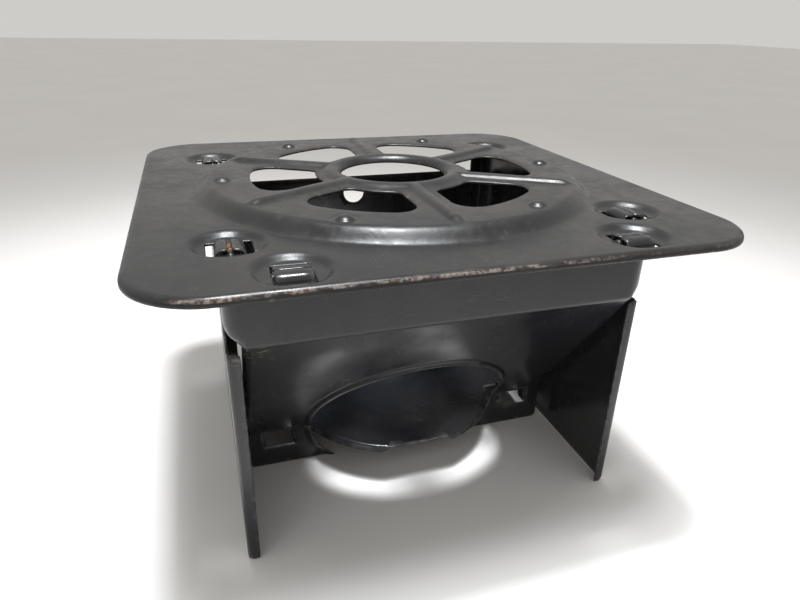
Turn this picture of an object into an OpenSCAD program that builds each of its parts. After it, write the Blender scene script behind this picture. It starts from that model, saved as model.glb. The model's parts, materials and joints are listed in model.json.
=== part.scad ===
// Folding sheet-steel stove for a can of jellied alcohol: six pressed pieces with curled-tongue hinges.
// +Z is up, the feet stand on Z = 0, +X is to the right and the open front faces -Y. Millimetres.

/* [Top plate] */
// Side of the square cooking plate
plate_w = 178; // [170:1:190]
// Corner radius of the plate
plate_corner_r = 21; // [15:1:26]
// Height of the flat part of the plate above the floor
plate_top = 105.2; // [100:0.1:115]
// Depth of the rim that is turned down round the plate
rim_drop = 2.5; // [2:0.1:5]
// Thickness of every steel sheet
sheet = 0.9; // [0.8:0.05:1]

/* [Burner] */
// Height of the raised burner disc above the plate
burner_rise = 3.9; // [3:0.1:5]
// Radius where the burner step starts to rise
burner_step_r = 70; // [69:0.5:70.5]
// Radius where the step reaches the burner disc
burner_disc_r = 66; // [65:0.5:67]
// Radius of the hole in the middle
burner_hole_r = 19; // [17:0.5:20]
// Number of spokes, openings and pan pips
spokes = 6; // [6:1:6]
// Inner radius of the openings between the spokes
opening_in_r = 28.5; // [27:0.5:30]
// Outer radius of the openings between the spokes
opening_out_r = 51.5; // [48:0.5:54]
// Half the width of a spoke
spoke_half = 6; // [5:0.5:7]
// Radius of the circle that the pan pips stand on
pip_ring_r = 61; // [58:0.5:62]

/* [Hinges] */
// Radius of the bar in each hinge window
bar_r = 1.4; // [1.2:0.05:1.4]
// Gap between a bar and the tongue curled round it
bar_gap = 0.1; // [0.08:0.01:0.15]
// Width of a curled tongue
tongue_w = 9.4; // [8.8:0.1:9.4]
// Half the flat stretch across the top of a curled tongue
curl_flat = 1.9; // [1.7:0.1:2]
// Length of a hinge window along its bar
window_l = 10.2; // [10.1:0.1:10.6]
// Width of a hinge window across its bar
window_w = 12.4; // [12.2:0.1:12.6]
// Radius of the round dish pressed round each hinge
dish_r = 10.8; // [10.5:0.1:10.8]
// Depth of that dish
dish_depth = 1.8; // [1.6:0.1:1.8]

/* [Legs] */
// Distance of each leg's hinge bars from the middle
leg_axis_x = 62.5; // [62.2:0.1:63]
// Distance of a leg's hinges in front of and behind the middle
leg_hinge_y = 54; // [52:0.5:54]
// Half the depth of a leg, front to back
leg_half_y = 63.5; // [63:0.1:64]
// Width of the flange turned inwards at a leg's front edge
leg_front_flange = 3.9; // [3:0.1:4]
// Width of the flange turned inwards at a leg's rear edge
leg_rear_flange = 6.8; // [6:0.1:7]

/* [Front panel] */
// Distance of the front panel's hinge bars in front of the middle
front_axis_y = 76; // [75.8:0.1:76.4]
// Distance of its hinges from the middle, left and right
front_hinge_x = 49; // [47:0.5:50]
// Half the width of the upright band across its top
band_half = 66.6; // [66:0.1:67]
// Radius of the band's two corners
band_corner_r = 7; // [6:0.5:7]
// Height of the band's lower edge
band_bottom = 79.4; // [79:0.1:81]
// Half the width of the sloping apron and its foot
apron_half = 62.3; // [60:0.1:62.4]
// Distance of the foot in front of the middle
foot_y = 18; // [17:0.1:19]
// Height of the bend between apron and foot
bend_z = 16.4; // [16:0.1:17]
// Radius of the arch cut in the apron for the can
arch_r = 38; // [38:0.1:39]

/* [Can shelf] */
// Height of the shelf that the fuel can stands on
shelf_top = 15.4; // [15:0.1:15.6]
// Radius of the shelf's round nose
nose_r = 41.6; // [40:0.1:41.6]
// Distance of the nose's straight front edge from the middle
nose_front = 39.2; // [37:0.1:40]
// Radius of the dish in the middle of the shelf
well_r = 21; // [18:0.5:24]
// Depth of that dish
well_depth = 3.5; // [2:0.1:5]
// Half the width of the shelf behind the front panel
shelf_half = 58; // [56:0.5:59]

/* [Rear panel] */
// Distance of the rear panel behind the middle
rear_y = 61.4; // [61:0.1:61.6]
// Height of the rear panel's top edge
rear_top = 92.6; // [88:0.1:93]
// Half its width at the top
rear_half = 60.6; // [60.2:0.1:61]
// Half its width at the floor
rear_foot_half = 54; // [50:0.5:58]
// Radius of the round hole near its top edge
rear_hole_r = 4.75; // [4:0.05:5]
// Distance of its hinges from the middle
rear_hinge_x = 40; // [34:0.5:44]

/* [Hidden] */
$fn = 96;
satin_black = [0.11, 0.11, 0.12];
gloss_black = [0.07, 0.08, 0.10];

plate_mid = plate_top - sheet / 2;
plate_under = plate_top - sheet;
disc_top = plate_top + burner_rise;
disc_mid = disc_top - sheet / 2;
ring_rise = 1;
ring_top_in = 21;
ring_top_out = 24;
ring_foot_r = 26.5;
ring_lip = 1.4;

rib_r = 2.6;
rib_rise = 1;
rib_end_r = 62;
pip_r = 3.2;
pip_rise = 0.9;
corner_out_r = 7;
corner_in_r = 3.5;

dish_floor_top = plate_top - dish_depth;
dish_floor_r = 9.2;
bar_z = plate_top - dish_depth - 0.7;
loop_in = bar_r + bar_gap;
loop_out = loop_in + sheet;
seam_w = 0.6;
tongue_step = 0.1;
panel_window_l = 12.4;

leg_in = leg_axis_x + curl_flat + loop_in;
leg_out = leg_in + sheet;
leg_shoulder = plate_under - 0.8;
leg_end_top = dish_floor_top - sheet - 1;
leg_shoulder_half = 40;
leg_notch_y = 58.4;
leg_notch_z = 76;

band_face = leg_notch_y + 0.8 + band_corner_r;
band_top = 96;
throat_z = 100;
apron_top_y = band_face - sheet / 2;
apron_run = apron_top_y - foot_y;
apron_fall = band_bottom - bend_z;
apron_tilt = atan(apron_run / apron_fall);
arch_rise = 7;
arch_lip = 1.6;
foot_arch_r = 18;
foot_arch_x = arch_r - foot_arch_r;
apron_flange = 3;

shelf_axis_y = 14.6;
shelf_axis_z = shelf_top + loop_in;
shelf_hinge_x = 50;
shelf_tongue_w = 9.6;
shelf_front = 12;
ear_reach = 1.6;
ear_top = 2.2;
ear_low = 9;
slot_low = 8.4;
slot_high = 15.2;
shelf_corner_r = 8;
shelf_back = rear_y - 3;

rear_tongue_w = 10;
rear_taper_z = 73;
rear_window = 7.6;
rear_hole_z = 84.8;

// Points along an arc, from angle a to angle b
function arc(c, r, a, b, n = 12) = [for (i = [0:n]) let (t = a + (b - a) * i / n) c + r * [cos(t), sin(t)]];

// A sheet seen edge on: its middle line, as thick as the sheet, with round bends
module sheet_path(pts) {
    for (i = [0:len(pts) - 2]) {
        run = pts[i + 1] - pts[i];
        translate(pts[i]) rotate(atan2(run[1], run[0]))
            translate([0, -sheet / 2]) square([norm(run), sheet]);
    }
    for (i = [1:len(pts) - 2]) translate(pts[i]) circle(d = sheet, $fn = 32);
}

module rounded_square(w, r) {
    square([w, w - 2 * r], center = true);
    square([w - 2 * r, w], center = true);
    for (x = [-1, 1], y = [-1, 1]) translate([x * (w / 2 - r), y * (w / 2 - r)]) circle(r);
}

// Stands an outline drawn in the YZ plane upright and makes it w wide, centred on X = x
module across(w, x = 0) {
    translate([x - w / 2, 0, 0]) rotate([90, 0, 90]) linear_extrude(w) children();
}

// A tongue curled round a bar that lies along X
module curl(w) {
    across(w) difference() {
        circle(loop_out);
        circle(loop_in);
    }
}

// Two half circles joined by straight stretches
module stadium(r) {
    for (side = [-1, 1]) translate([side * curl_flat, 0]) circle(r);
    square([2 * curl_flat, 2 * r], center = true);
}

// A tongue curled into a flattened loop round a bar that lies along X, with a seam on top
module flat_curl() {
    across(tongue_w) difference() {
        stadium(loop_out);
        stadium(loop_in);
        translate([-seam_w / 2, 0]) square([seam_w, 2 * loop_out]);
    }
}

// One opening between two spokes, centred on the +X direction
module wedge_opening() {
    half_step = 180 / spokes;
    out_d = opening_out_r - corner_out_r;
    in_d = opening_in_r + corner_in_r;
    out_a = half_step - asin((spoke_half + corner_out_r) / out_d);
    in_a = half_step - asin((spoke_half + corner_in_r) / in_d);
    out_c = out_d * [cos(out_a), sin(out_a)];
    in_c = in_d * [cos(in_a), sin(in_a)];
    upper = concat(arc([0, 0], opening_out_r, 0, out_a, 6),
                   arc(out_c, corner_out_r, out_a, half_step + 90),
                   arc(in_c, corner_in_r, half_step + 90, in_a + 180),
                   arc([0, 0], opening_in_r, in_a, 0, 6));
    lower = [for (i = [len(upper) - 2:-1:1]) [upper[i][0], -upper[i][1]]];
    polygon(concat(upper, lower));
}

// The round dish, window and bar that a tongue curls round; the bar lies along X through the origin
module hinge_seat() {
    rise = plate_mid - bar_z;
    floor_mid = dish_floor_top - sheet / 2 - bar_z;
    difference() {
        rotate_extrude() intersection() {
            sheet_path([[dish_r + 1, rise], [dish_r, rise], [dish_floor_r, floor_mid], [0, floor_mid]]);
            translate([0, -window_w]) square([dish_r + 0.4, 2 * window_w]);
        }
        cube([window_l, window_w, 3 * dish_depth], center = true);
    }
    rotate([0, 90, 0]) cylinder(r = bar_r, h = window_l + 2, center = true);
}

module hinge_places() {
    for (x = [-1, 1]) {
        translate([x * front_hinge_x, -front_axis_y, bar_z]) children();
        for (y = [-1, 1]) translate([x * leg_axis_x, y * leg_hinge_y, bar_z]) rotate(90) children();
    }
}

module hinge_places_flat() {
    for (x = [-1, 1]) {
        translate([x * front_hinge_x, -front_axis_y]) children();
        for (y = [-1, 1]) translate([x * leg_axis_x, y * leg_hinge_y]) children();
    }
}

module burner() {
    rotate_extrude($fn = 180) intersection() {
        sheet_path([[burner_step_r + 2, plate_mid], [burner_step_r, plate_mid], [burner_disc_r, disc_mid],
                    [burner_disc_r - 2, disc_mid]]);
        translate([burner_disc_r - 1.5, plate_under])
            square([burner_step_r - burner_disc_r + 2.5, 2 * burner_rise]);
    }
    translate([0, 0, disc_top - sheet]) linear_extrude(sheet) difference() {
        circle(burner_disc_r - 1, $fn = 180);
        circle(ring_foot_r - 0.5);
        for (i = [0:spokes - 1]) rotate(i * 360 / spokes) wedge_opening();
    }
    rotate_extrude()
        sheet_path([[burner_hole_r + sheet / 2, disc_mid - ring_lip], [burner_hole_r + sheet / 2, disc_mid],
                    [ring_top_in, disc_mid + ring_rise], [ring_top_out, disc_mid + ring_rise],
                    [ring_foot_r, disc_mid], [ring_foot_r + 0.8, disc_mid]]);
    for (i = [0:spokes - 1]) rotate((i + 0.5) * 360 / spokes) intersection() {
        translate([0, 0, disc_top + rib_rise - rib_r]) {
            rotate([0, 90, 0]) cylinder(r = rib_r, h = rib_end_r);
            translate([rib_end_r, 0, 0]) sphere(rib_r, $fn = 48);
        }
        translate([ring_top_out, -rib_r, disc_top - sheet]) cube([rib_end_r, 2 * rib_r, 2 * rib_r]);
    }
    for (i = [0:spokes - 1]) rotate(i * 360 / spokes) intersection() {
        translate([pip_ring_r, 0, disc_top + pip_rise - pip_r]) sphere(pip_r, $fn = 48);
        translate([pip_ring_r - pip_r, -pip_r, disc_top - sheet]) cube([2 * pip_r, 2 * pip_r, 2 * pip_r]);
    }
}

module top_plate() {
    color(satin_black) {
        translate([0, 0, plate_under]) linear_extrude(sheet) difference() {
            rounded_square(plate_w, plate_corner_r);
            circle(burner_step_r + 0.5, $fn = 180);
            hinge_places_flat() circle(dish_r);
        }
        translate([0, 0, plate_top - rim_drop]) linear_extrude(rim_drop) difference() {
            rounded_square(plate_w, plate_corner_r);
            rounded_square(plate_w - 2 * sheet, plate_corner_r - sheet);
        }
        burner();
        hinge_places() hinge_seat();
    }
}

// The right-hand leg; the left one is its mirror image
module leg() {
    translate([leg_in, 0, 0]) {
        translate([0, -leg_half_y, 0]) cube([sheet, leg_half_y, leg_notch_z]);
        translate([0, -leg_notch_y, leg_notch_z - 1])
            cube([sheet, leg_notch_y, leg_end_top - leg_notch_z + 1]);
        cube([sheet, leg_half_y, leg_end_top]);
        translate([0, -leg_shoulder_half, leg_end_top - 1])
            cube([sheet, 2 * leg_shoulder_half, leg_shoulder - leg_end_top + 1]);
    }
    translate([leg_out - leg_front_flange, -leg_half_y, 0])
        cube([leg_front_flange, sheet, leg_notch_z]);
    translate([leg_out - leg_rear_flange, leg_half_y - sheet, 0])
        cube([leg_rear_flange, sheet, leg_end_top]);
    for (y = [-1, 1]) translate([leg_axis_x, y * leg_hinge_y, bar_z]) {
        rotate(90) flat_curl();
        translate([curl_flat + loop_in, -tongue_w / 2, leg_end_top - bar_z - 1])
            cube([sheet, tongue_w, bar_z - leg_end_top + 1]);
    }
}

module left_leg() {
    color(gloss_black) mirror([1, 0, 0]) leg();
}

module right_leg() {
    color(gloss_black) leg();
}

// The arch in the apron, drawn with the bend on Y = 0 and the apron above it
module arch() {
    translate([0, arch_rise]) circle(arch_r);
    translate([-arch_r, -sheet]) square([2 * arch_r, arch_rise + sheet]);
}

// The rest of the opening, down through the foot
module foot_arch() {
    for (x = [-1, 1]) translate([x * foot_arch_x, 0]) circle(foot_arch_r);
    translate([-foot_arch_x, -foot_arch_r]) square([2 * foot_arch_x, foot_arch_r]);
    translate([-arch_r, 0]) square([2 * arch_r, sheet]);
}

// Puts an outline drawn in the apron's own plane, with the bend on its X axis, onto the apron
module on_apron() {
    translate([0, -foot_y, bend_z]) rotate([90 + apron_tilt, 0, 0]) children();
}

module front_panel() {
    ear_back = foot_y - shelf_axis_y + ear_reach;
    stem_y = curl_flat + loop_in - front_axis_y;
    color(gloss_black) {
        difference() {
            across(2 * apron_half) sheet_path([[-foot_y, 0], [-foot_y, bend_z], [-apron_top_y, band_bottom],
                                               [-apron_top_y, band_bottom + 1]]);
            on_apron() translate([0, 0, -5]) linear_extrude(10) arch();
            translate([0, 5 - foot_y, bend_z]) rotate([90, 0, 0]) linear_extrude(10) foot_arch();
            for (x = [-1, 1]) translate([x * shelf_hinge_x - panel_window_l / 2, -foot_y - 5, slot_low])
                cube([panel_window_l, 10, slot_high - slot_low]);
        }
        on_apron() translate([0, 0, -sheet / 2]) linear_extrude(arch_lip) difference() {
            intersection() {
                translate([0, arch_rise]) circle(arch_r + sheet);
                translate([-2 * arch_r, arch_rise]) square(4 * arch_r);
            }
            translate([0, arch_rise]) circle(arch_r);
        }
        for (x = [-1, 1]) across(sheet, x * (apron_half - sheet / 2)) intersection() {
            polygon([[-foot_y, bend_z], [-apron_top_y, band_bottom],
                     [-apron_top_y + apron_flange, band_bottom],
                     [-foot_y + apron_flange, bend_z]]);
            translate([-2 * foot_y - 60, 0]) square([200, band_bottom]);
        }
        translate([0, 0, band_bottom]) linear_extrude(band_top - band_bottom) band_outline();
        across(2 * (band_half - band_corner_r))
            sheet_path([[-apron_top_y, band_top - 1], [-apron_top_y, band_top],
                        [stem_y + sheet / 2, throat_z], [stem_y + sheet / 2, throat_z + 0.4]]);
        for (x = [-1, 1]) {
            translate([x * front_hinge_x, -front_axis_y, bar_z]) flat_curl();
            translate([x * front_hinge_x - tongue_w / 2, stem_y, throat_z])
                cube([tongue_w, sheet, bar_z - throat_z]);
            for (side = [-1, 1]) across(sheet, x * shelf_hinge_x + side * (panel_window_l - sheet) / 2)
                translate([-foot_y, ear_low]) square([ear_back, shelf_axis_z + ear_top - ear_low]);
            translate([x * shelf_hinge_x, -shelf_axis_y, shelf_axis_z]) rotate([0, 90, 0])
                cylinder(r = bar_r, h = panel_window_l - sheet, center = true);
        }
    }
}

// The band seen from above: a straight face with its two corners turned back
module band_outline() {
    straight = band_half - band_corner_r;
    translate([-straight, -band_face]) square([2 * straight, sheet]);
    for (x = [-1, 1]) translate([x * straight, band_corner_r - band_face]) intersection() {
        difference() {
            circle(band_corner_r);
            circle(band_corner_r - sheet);
        }
        translate([x > 0 ? 0 : -band_corner_r, -band_corner_r]) square(band_corner_r);
    }
}

module shelf_outline() {
    corner = shelf_half - shelf_corner_r;
    intersection() {
        circle(nose_r);
        translate([-nose_r, -nose_front]) square([2 * nose_r, 2 * nose_front]);
    }
    translate([-shelf_half, -shelf_front])
        square([2 * shelf_half, shelf_back + shelf_front - shelf_corner_r]);
    translate([-corner, 0]) square([2 * corner, shelf_back]);
    for (x = [-1, 1]) translate([x * corner, shelf_back - shelf_corner_r]) circle(shelf_corner_r);
}

module can_shelf() {
    well_floor = shelf_top - well_depth;
    upper = [[well_r + 1, shelf_top], [well_r, shelf_top], [well_r - 3, well_floor + 0.8],
             [well_r - 8, well_floor], [0, well_floor]];
    lower = [for (i = [len(upper) - 1:-1:0]) upper[i] - [0, sheet]];
    color(gloss_black) {
        translate([0, 0, shelf_top - sheet]) linear_extrude(sheet) difference() {
            shelf_outline();
            circle(well_r + 0.5);
        }
        rotate_extrude() polygon(concat(upper, lower));
        for (x = [-1, 1]) {
            translate([x * shelf_hinge_x, -shelf_axis_y, shelf_axis_z]) curl(shelf_tongue_w);
            translate([x * shelf_hinge_x - shelf_tongue_w / 2, -shelf_axis_y, shelf_top - sheet])
                cube([shelf_tongue_w, shelf_axis_y - shelf_front + 1, sheet - tongue_step]);
            translate([x * rear_hinge_x, rear_y, shelf_axis_z]) curl(rear_tongue_w);
            translate([x * rear_hinge_x - rear_tongue_w / 2, shelf_back - 1, shelf_top - sheet])
                cube([rear_tongue_w, rear_y - shelf_back + 1, sheet - tongue_step]);
        }
    }
}

module rear_panel() {
    color(gloss_black) {
        translate([0, rear_y + sheet / 2, 0]) rotate([90, 0, 0]) linear_extrude(sheet) difference() {
            polygon([[-rear_foot_half, 0], [rear_foot_half, 0], [rear_half, rear_taper_z],
                     [rear_half, rear_top], [-rear_half, rear_top], [-rear_half, rear_taper_z]]);
            translate([0, rear_hole_z]) circle(rear_hole_r);
            for (x = [-1, 1])
                translate([x * rear_hinge_x - panel_window_l / 2, shelf_axis_z - rear_window / 2])
                    square([panel_window_l, rear_window]);
        }
        for (x = [-1, 1]) translate([x * rear_hinge_x, rear_y, shelf_axis_z]) rotate([0, 90, 0])
            cylinder(r = bar_r, h = panel_window_l + 2, center = true);
    }
}

top_plate();
left_leg();
right_leg();
front_panel();
can_shelf();
rear_panel();
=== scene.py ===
"""Looks for the folding can-fuel stove: six pressed steel sheets, each rebuilt as a smooth bent sheet round
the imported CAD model. Lengths in the geometry code are millimetres, and piece() turns them into metres. Places
in the materials, the lights and the floor are in metres."""

import json
import math

import bpy
import numpy as np
from mathutils import Matrix, Vector
from mathutils.geometry import delaunay_2d_cdt


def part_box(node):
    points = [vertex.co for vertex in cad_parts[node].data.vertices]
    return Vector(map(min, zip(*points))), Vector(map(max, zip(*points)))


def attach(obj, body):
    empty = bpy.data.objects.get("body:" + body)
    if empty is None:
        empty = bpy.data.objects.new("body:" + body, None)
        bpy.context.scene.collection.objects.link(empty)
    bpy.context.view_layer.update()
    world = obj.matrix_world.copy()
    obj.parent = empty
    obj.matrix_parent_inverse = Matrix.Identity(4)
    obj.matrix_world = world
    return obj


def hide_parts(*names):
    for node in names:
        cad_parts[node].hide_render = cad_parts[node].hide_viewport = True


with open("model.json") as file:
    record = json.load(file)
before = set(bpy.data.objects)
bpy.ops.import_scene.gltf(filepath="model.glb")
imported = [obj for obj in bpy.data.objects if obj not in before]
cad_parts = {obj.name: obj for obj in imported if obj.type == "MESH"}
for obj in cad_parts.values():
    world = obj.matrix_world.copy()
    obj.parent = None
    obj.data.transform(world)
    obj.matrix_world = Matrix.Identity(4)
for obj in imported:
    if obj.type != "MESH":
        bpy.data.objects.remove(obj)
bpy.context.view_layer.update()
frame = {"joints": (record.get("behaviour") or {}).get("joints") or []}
MM = 0.001


def cad(node):
    """A CAD node's lowest and highest corner, in millimetres."""
    return [np.array(corner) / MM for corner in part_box(node)]


# ---------------------------------------------------------------- sizes, from the frame
SHEET = 0.9
HALF = SHEET / 2
plate_high = cad("top_plate")[1]
leg_low, leg_high = cad("right_leg")
rear_high = cad("rear_panel")[1]
joint = {j["name"]: j for j in frame["joints"]}
front_axis = np.array(joint["front_panel_swing"]["pos_m"]) / MM
leg_axis = np.array(joint["right_leg_splay"]["pos_m"]) / MM
shelf_axis = np.array(joint["shelf_fold"]["pos_m"]) / MM
rear_axis = np.array(joint["rear_panel_fold"]["pos_m"]) / MM

PLATE_HALF = plate_high[0]
PLATE_CORNER = 21
PLATE_TOP = front_axis[2] + 2.5
PLATE_MID = PLATE_TOP - HALF
RIM_DROP = 2.5
BURNER_RISE = 3.9
HINGE_X = 49
LEG_HINGE_Y = 54
BAR_R = 1.4
LOOP_IN = 1.5
LOOP_MID = LOOP_IN + HALF
CURL_FLAT = 1.9
TONGUE_W = 9.4
TONGUE_REACH = TONGUE_W / 2 - HALF


# ---------------------------------------------------------------- flat patterns and meshes
def smooth(t):
    """0 below 0, 1 above 1, and a smooth rise between."""
    t = np.clip(t, 0, 1)
    return t * t * (3 - 2 * t)


def bump(t):
    """1 at 0, falling smoothly to 0 at -1 and 1."""
    return 0.5 + 0.5 * np.cos(np.pi * np.clip(np.abs(t), 0, 1))


def arc(centre, radius, start, end, step=1.0):
    """Points along an arc, angles in degrees, one about every step."""
    count = max(2, int(abs(math.radians(end - start)) * radius / step) + 1)
    t = np.radians(np.linspace(start, end, count))
    return np.array(centre) + radius * np.stack([np.cos(t), np.sin(t)], 1)


def loop(*pieces, step=1.2):
    """A closed outline through all the given points, with long straight stretches cut into steps."""
    points = np.concatenate([np.atleast_2d(p) for p in pieces])
    out = []
    for a, b in zip(points, np.roll(points, -1, axis=0)):
        length = np.hypot(*(b - a))
        if length < 1e-6:
            continue
        parts = max(1, int(round(length / step)))
        out += [a + (b - a) * i / parts for i in range(parts)]
    return np.array(out)


def rounded_box(half_x, half_y, radius, centre=(0, 0), step=1.2):
    """A rectangle with round corners, anticlockwise."""
    x, y = half_x - radius, half_y - radius
    corners = [arc((sx * x + centre[0], sy * y + centre[1]), radius, a, a + 90, min(step, radius / 3))
               for sx, sy, a in ((1, 1, 0), (-1, 1, 90), (-1, -1, 180), (1, -1, 270))]
    return loop(*corners, step=step)


def distance_to(points, outline):
    """Each point's distance to a closed outline."""
    a, b = outline, np.roll(outline, -1, axis=0)
    best = np.full(len(points), 1e9)
    for i in range(0, len(points), 4000):
        p = points[i:i + 4000, None]
        t = np.clip(((p - a) * (b - a)).sum(2) / ((b - a) ** 2).sum(1), 0, 1)
        gap = p - (a + t[..., None] * (b - a))
        best[i:i + 4000] = np.sqrt((gap ** 2).sum(2)).min(1)
    return best


def inside(points, outline):
    """Which points lie inside a closed outline."""
    a, b = outline, np.roll(outline, -1, axis=0)
    x, y = points[:, 0, None], points[:, 1, None]
    cross = (a[:, 1] > y) != (b[:, 1] > y)
    slope = np.where(b[:, 1] == a[:, 1], 1e-9, b[:, 1] - a[:, 1])
    return (cross & (x < a[:, 0] + (y - a[:, 1]) * (b[:, 0] - a[:, 0]) / slope)).sum(1) % 2 == 1


def triangulate(outer, holes, seeds, clear=0.45):
    """Vertices and triangles of the area inside outer and outside holes, with seeds as points inside it."""
    keep = inside(seeds, outer) & (distance_to(seeds, outer) > clear)
    for hole in holes:
        keep &= ~inside(seeds, hole) & (distance_to(seeds, hole) > clear)
    rings = [outer, *holes]
    edges, start = [], 0
    for ring in rings:
        n = len(ring)
        edges += [(start + i, start + (i + 1) % n) for i in range(n)]
        start += n
    points = np.concatenate([*rings, seeds[keep]])
    verts, _, faces, *_ = delaunay_2d_cdt([Vector(p) for p in points], edges, [], 0, 1e-5)
    verts = np.array([tuple(v) for v in verts])
    faces = np.array(faces)
    middle = verts[faces].mean(1)
    real = inside(middle, outer)
    for hole in holes:
        real &= ~inside(middle, hole)
    faces = faces[real]
    a, b, c = (verts[faces[:, i]] for i in range(3))
    area = (b[:, 0] - a[:, 0]) * (c[:, 1] - a[:, 1]) - (b[:, 1] - a[:, 1]) * (c[:, 0] - a[:, 0])
    faces = faces[np.abs(area) > 1e-7]
    area = area[np.abs(area) > 1e-7]
    faces[area < 0] = faces[area < 0][:, ::-1]
    used = np.unique(faces)
    renumber = np.full(len(verts), -1)
    renumber[used] = np.arange(len(used))
    return verts[used], renumber[faces]


def unit(v):
    """Vectors scaled to length 1."""
    return v / np.maximum(np.linalg.norm(v, axis=-1, keepdims=True), 1e-12)


def bend_sheet(uv, faces, place):
    """A steel sheet: the flat pattern uv, bent by place, with half-round cut edges. Returns its vertices, its
    faces and how much each vertex belongs to a cut edge."""
    h = 0.02
    mid = place(uv)
    du = (place(uv + [h, 0]) - place(uv - [h, 0])) / (2 * h)
    dv = (place(uv + [0, h]) - place(uv - [0, h])) / (2 * h)
    normal = unit(np.cross(du, dv))
    n = len(uv)
    directed = dict.fromkeys((f[i], f[(i + 1) % 3]) for f in faces for i in range(3))
    rim = [(a, b) for a, b in directed if (b, a) not in directed]
    flat_out = np.zeros((n, 2))
    for a, b in rim:
        d = uv[b] - uv[a]
        side = np.array([d[1], -d[0]]) / max(np.hypot(*d), 1e-9)
        flat_out[a] += side
        flat_out[b] += side
    out = du * flat_out[:, :1] + dv * flat_out[:, 1:]
    out -= normal * (out * normal).sum(1, keepdims=True)
    out = unit(out)
    edge = np.unique([v for pair in rim for v in pair])
    where = np.full(n, -1)
    where[edge] = np.arange(len(edge))
    rows = [mid + normal * HALF, mid - normal * HALF]
    turns = np.radians([45, 0, -45])
    for t in turns:
        rows.append(mid[edge] + HALF * (normal[edge] * math.sin(t) + out[edge] * math.cos(t)))
    verts = np.concatenate(rows)
    cut = np.concatenate([np.zeros(2 * n), np.ones(len(edge) * len(turns))])
    cut[edge] = 0.6
    cut[edge + n] = 0.6
    polys = [tuple(f) for f in faces] + [tuple(f[::-1] + n) for f in faces]
    for a, b in rim:
        ladder_a = [a] + [2 * n + k * len(edge) + where[a] for k in range(len(turns))] + [a + n]
        ladder_b = [b] + [2 * n + k * len(edge) + where[b] for k in range(len(turns))] + [b + n]
        for k in range(len(turns) + 1):
            polys.append((ladder_a[k], ladder_a[k + 1], ladder_b[k + 1], ladder_b[k]))
    return verts, polys, cut


def strip(path, width, across, step=0.6):
    """A ribbon of sheet along a path of points, as wide as width along the unit vector across."""
    path = np.array(path, float)
    lengths = np.concatenate([[0], np.cumsum(np.linalg.norm(np.diff(path, axis=0), axis=1))])
    total = lengths[-1]
    us = np.linspace(-width / 2, width / 2, max(3, int(width / 1.5)))
    vs = np.linspace(0, total, max(3, int(total / step)))
    grid = np.array([(u, v) for v in vs for u in us])
    w = len(us)
    faces = []
    for j in range(len(vs) - 1):
        for i in range(w - 1):
            a = j * w + i
            faces += [(a, a + 1, a + w + 1), (a, a + w + 1, a + w)]

    def place(uv):
        t = np.clip(uv[:, 1], -1, total + 1)
        run = np.stack([np.interp(t, lengths, path[:, k]) for k in range(3)], 1)
        before = (t < 0)[:, None] * (path[1] - path[0]) / max(lengths[1], 1e-9) * t[:, None]
        last = max(total - lengths[-2], 1e-9)
        after = (t > total)[:, None] * (path[-1] - path[-2]) / last * (t - total)[:, None]
        return run + before + after + uv[:, :1] * np.array(across, float)

    return bend_sheet(grid, np.array(faces), place)


def piece(name, body, node, parts, material):
    """One visible piece made of sheet parts. It rides on a body and stands for a CAD node."""
    verts, polys, cut, start = [], [], [], 0
    for v, f, c in parts:
        verts.append(v)
        cut.append(c)
        polys += [tuple(int(i) + start for i in p) for p in f]
        start += len(v)
    mesh = bpy.data.meshes.new(name)
    mesh.from_pydata((np.concatenate(verts) * MM).tolist(), [], polys)
    mesh.polygons.foreach_set("use_smooth", [True] * len(mesh.polygons))
    # Marks the cut edges: real wear on the plate, and wear with a painted edge highlight on the panels.
    edge_wear_and_highlight = mesh.attributes.new("cut_edge", "FLOAT", "POINT")
    edge_wear_and_highlight.data.foreach_set("value", np.concatenate(cut))
    mesh.update()
    obj = bpy.data.objects.new(name, mesh)
    bpy.context.scene.collection.objects.link(obj)
    obj.data.materials.append(material)
    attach(obj, body)
    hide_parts(node)
    return obj


def rings(centre, radii, step):
    """Points on circles round a centre."""
    out = []
    for r in radii:
        count = max(6, int(2 * math.pi * r / step))
        t = np.arange(count) / count * 2 * math.pi
        out.append(np.array(centre) + r * np.stack([np.cos(t), np.sin(t)], 1))
    return np.concatenate(out)


def lattice(half_x, half_y, step, centre=(0, 0)):
    """A triangular lattice of points over a rectangle."""
    rows = []
    for j, y in enumerate(np.arange(-half_y, half_y, step * 0.866)):
        xs = np.arange(-half_x + (j % 2) * step / 2, half_x, step)
        rows.append(np.stack([xs, np.full(len(xs), y)], 1))
    return np.concatenate(rows) + np.array(centre)


def layered(*zones):
    """Points of several zones, each (points, test). A later zone's points give way where an earlier test
    holds, so the last zone needs no test."""
    out = []
    for i, (points, _) in enumerate(zones):
        keep = np.ones(len(points), bool)
        for _, test in zones[:i]:
            keep &= ~test(points)
        out.append(points[keep])
    return np.concatenate(out)


def rotated(points, degrees):
    """Points turned anticlockwise about the origin."""
    c, s = math.cos(math.radians(degrees)), math.sin(math.radians(degrees))
    return points @ np.array([[c, s], [-s, c]])


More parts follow.
